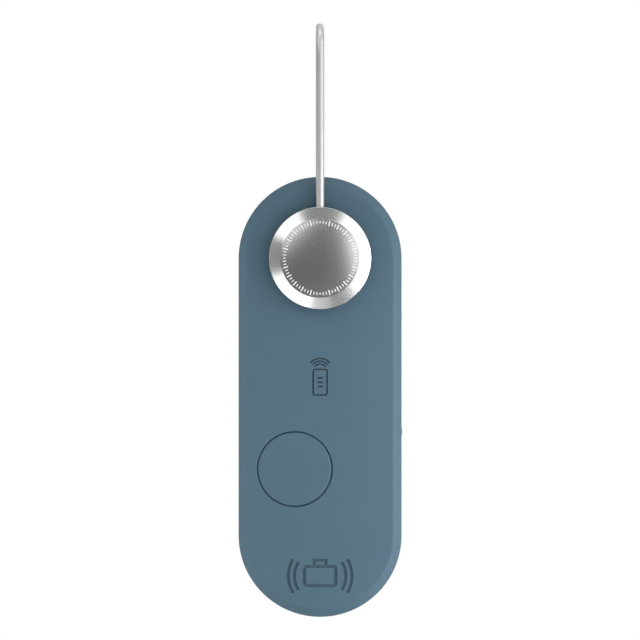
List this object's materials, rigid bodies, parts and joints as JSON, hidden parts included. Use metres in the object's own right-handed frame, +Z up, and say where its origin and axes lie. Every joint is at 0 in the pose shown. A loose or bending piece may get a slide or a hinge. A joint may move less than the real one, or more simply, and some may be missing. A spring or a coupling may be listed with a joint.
{
  "type": "luggage finder tag",
  "caption": "Slim rounded luggage finder tag with a push button, a steel lock cap, a bent wire hanging loop and a covered charging port.",
  "frame": {"origin": "underside of the wire loop's top bend, where the tag hangs", "axes": "+Z up along the tag, the face with the button looks along -Y, +X to the right of the face"},
  "size_m": [0.0401, 0.0189, 0.1458],
  "materials": {
    "soft_touch_shell": "soft-touch slate blue, fine grain",
    "soft_touch_button": "soft-touch slate blue, fine grain",
    "port_rubber": "matt elastomer, slate blue",
    "polished_wire": "polished stainless steel",
    "brushed_cap": "satin dome, polished bevel",
    "satin_steel": "satin turned steel",
    "spring_steel": "plain",
    "nylon": "natural nylon, dark",
    "silicone": "matt",
    "black_screw": "black oxide",
    "brass_insert": "knurled",
    "board_green": "solder mask",
    "chip_black": "moulded epoxy",
    "tin_shield": "tinned sheet",
    "antenna_ceramic": "fired ceramic",
    "component_ceramic": "fired ceramic",
    "port_steel": "drawn stainless",
    "port_plastic": "moulded",
    "cell_pouch": "foil pouch",
    "foam_tape": "acrylic foam",
    "connector_white": "moulded",
    "lead_red": "silicone sleeve",
    "lead_black": "silicone sleeve",
    "polyimide": "amber film",
    "coil_copper": "etched copper",
    "ferrite": "sintered sheet",
    "gold_contact": "gold plate",
    "piezo_brass": "rolled",
    "piezo_ceramic": "silvered",
    "vent_film": "expanded film"
  },
  "bodies": {
    "loop": {"loop_wire": "polished_wire"},
    "housing": {"front_cover": "soft_touch_shell", "rear_cover": "soft_touch_shell", "cover_gasket": "silicone", "tunnel_seal": "silicone", "cover_screws": "black_screw", "screw_inserts": "brass_insert", "barrel_sleeve": "satin_steel", "front_washer": "nylon", "rear_washer": "nylon", "front_cap": "brushed_cap", "button_membrane": "silicone", "switch_body": "chip_black", "port_hinge_pin": "spring_steel", "usb_receptacle": "port_steel", "usb_tongue": "port_plastic", "main_board": "board_green", "board_screws": "black_screw", "radio_chip": "chip_black", "chip_antenna": "antenna_ceramic", "accelerometer_chip": "chip_black", "charger_chip": "chip_black", "battery_connector": "connector_white", "small_components": "component_ceramic", "radio_shield": "tin_shield", "battery_cell": "cell_pouch", "battery_pad": "foam_tape", "battery_lead_positive": "lead_red", "battery_lead_negative": "lead_black", "antenna_sheet": "polyimide", "antenna_coil": "coil_copper", "ferrite_sheet": "ferrite", "antenna_contacts": "gold_contact", "sounder_ring": "silicone", "sounder_plate": "piezo_brass", "sounder_ceramic": "piezo_ceramic", "sound_vent": "vent_film", "sounder_contacts": "gold_contact"},
    "button": {"button_cap": "soft_touch_button"},
    "switch": {"switch_plunger": "port_plastic"},
    "port_lid": {"port_cover": "port_rubber"},
    "lock_washer": {"rear_spring_washer": "spring_steel"},
    "lock_screw": {"rear_screw": "satin_steel"}
  },
  "joints": [
    {"name": "tag_swivel", "type": "hinge", "parent": "loop", "child": "housing", "pos_m": [0, 0, -0.0557], "axis": [0, 1, 0], "range_deg": [-155, 155]},
    {"name": "button_press", "type": "slide", "parent": "housing", "child": "button", "axis": [0, 1, 0], "range_m": [0, 0.0003], "stiffness_N_per_m": 5000, "deforming": ["button_membrane"]},
    {"name": "switch_press", "type": "slide", "parent": "housing", "child": "switch", "axis": [0, 1, 0], "range_m": [0, 0.0003], "deforming": ["button_membrane"]},
    {"name": "port_cover_swing", "type": "hinge", "parent": "housing", "child": "port_lid", "pos_m": [0.01935, 0, -0.1171], "axis": [0, 1, 0], "range_deg": [0, 90]},
    {"name": "lock_screw_travel", "type": "slide", "parent": "housing", "child": "lock_washer", "axis": [0, 1, 0], "range_m": [0, 0.00561]},
    {"name": "lock_screw_turn", "type": "hinge", "parent": "lock_washer", "child": "lock_screw", "pos_m": [0, 0, -0.0557], "axis": [0, 1, 0], "range_deg": [0, 2520]}
  ],
  "couplings": [
    {"joint": "switch_press", "follows": "button_press", "ratio": 1},
    {"joint": "lock_screw_travel", "follows": "lock_screw_turn", "m_per_rad": 0.00012732}
  ]
}
